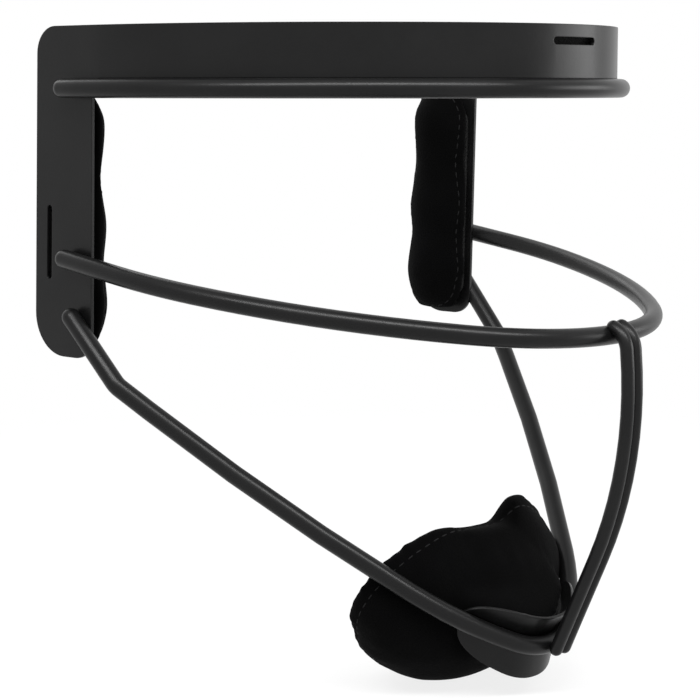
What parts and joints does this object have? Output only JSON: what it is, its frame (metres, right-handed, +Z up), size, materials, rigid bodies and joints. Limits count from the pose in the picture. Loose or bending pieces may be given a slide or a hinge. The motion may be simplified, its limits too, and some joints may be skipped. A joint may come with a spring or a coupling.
{
  "type": "softball face guard",
  "caption": "Wire face guard for fielders: a steel brow band with temple legs, bent guard wires, a chin plate and pull-off foam pads.",
  "frame": {"origin": "centre of the whole guard's box, on its plane of symmetry", "axes": "+Z up as worn, -Y the way the wearer looks, +X the wearer's left"},
  "size_m": [0.1746, 0.1452, 0.1842],
  "materials": {
    "powder_coat": "satin",
    "hook_tape": "matte",
    "loop_tape": "matte",
    "pad_foam": "matte",
    "pad_fabric": "matte"
  },
  "bodies": {
    "frame": {"brow_band": "powder_coat", "brow_wire": "powder_coat", "face_wire": "powder_coat", "jaw_wire": "powder_coat", "right_upright": "powder_coat", "left_upright": "powder_coat", "chin_plate": "powder_coat", "forehead_hook_strip": "hook_tape", "left_temple_hook_strip": "hook_tape", "right_temple_hook_strip": "hook_tape", "chin_hook_patch": "hook_tape"},
    "forehead_pad": {"forehead_pad_backing": "loop_tape", "forehead_pad_foam": "pad_foam", "forehead_pad_cover": "pad_fabric"},
    "left_temple_pad": {"left_temple_pad_backing": "loop_tape", "left_temple_pad_foam": "pad_foam", "left_temple_pad_cover": "pad_fabric"},
    "right_temple_pad": {"right_temple_pad_backing": "loop_tape", "right_temple_pad_foam": "pad_foam", "right_temple_pad_cover": "pad_fabric"},
    "chin_pad": {"chin_pad_backing": "loop_tape", "chin_pad_foam": "pad_foam", "chin_pad_cover": "pad_fabric"}
  },
  "joints": [
    {"name": "forehead_pad_pull_off", "type": "slide", "parent": "frame", "child": "forehead_pad", "axis": [0, 1, 0], "range_m": [0, 0.015]},
    {"name": "left_temple_pad_pull_off", "type": "slide", "parent": "frame", "child": "left_temple_pad", "axis": [-1, 0, 0], "range_m": [0, 0.015]},
    {"name": "right_temple_pad_pull_off", "type": "slide", "parent": "frame", "child": "right_temple_pad", "axis": [1, 0, 0], "range_m": [0, 0.015]},
    {"name": "chin_pad_pull_off", "type": "slide", "parent": "frame", "child": "chin_pad", "axis": [0, 0.7536, 0.6574], "range_m": [0, 0.015]}
  ]
}
